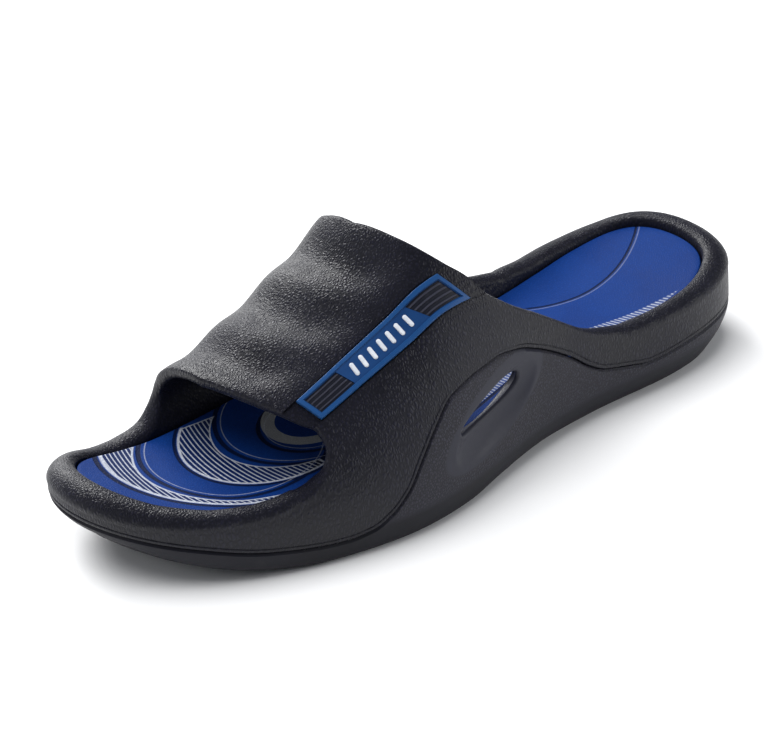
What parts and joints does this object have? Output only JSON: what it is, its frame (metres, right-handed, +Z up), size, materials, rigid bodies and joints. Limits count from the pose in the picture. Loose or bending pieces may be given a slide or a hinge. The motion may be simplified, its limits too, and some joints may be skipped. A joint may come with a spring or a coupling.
{
  "type": "sport slide sandal",
  "caption": "Moulded rubber and foam slide with one broad strap, a raised rim, a dished footbed, a side vent and a badge strip across the strap.",
  "frame": {"origin": "on the ground, under the middle of the sandal's length and width", "axes": "+X towards the heel, -X towards the toe, -Y towards the outer side with the vent, +Y towards the inner side, +Z up"},
  "size_m": [0.2873, 0.1008, 0.093],
  "materials": {
    "upper": "moulded foam rubber with a fine leather grain",
    "sole": "moulded foam rubber, matt, pebbled on the side",
    "insole": "soft blue foam with a printed pattern",
    "badge": "satin soft rubber",
    "badge_panel": "satin soft rubber, ribbed"
  },
  "bodies": {
    "root": {"upper": "upper", "sole": "sole", "insole": "insole", "badge": "badge", "badge_panel_front": "badge_panel", "badge_panel_rear": "badge_panel"}
  },
  "joints": []
}
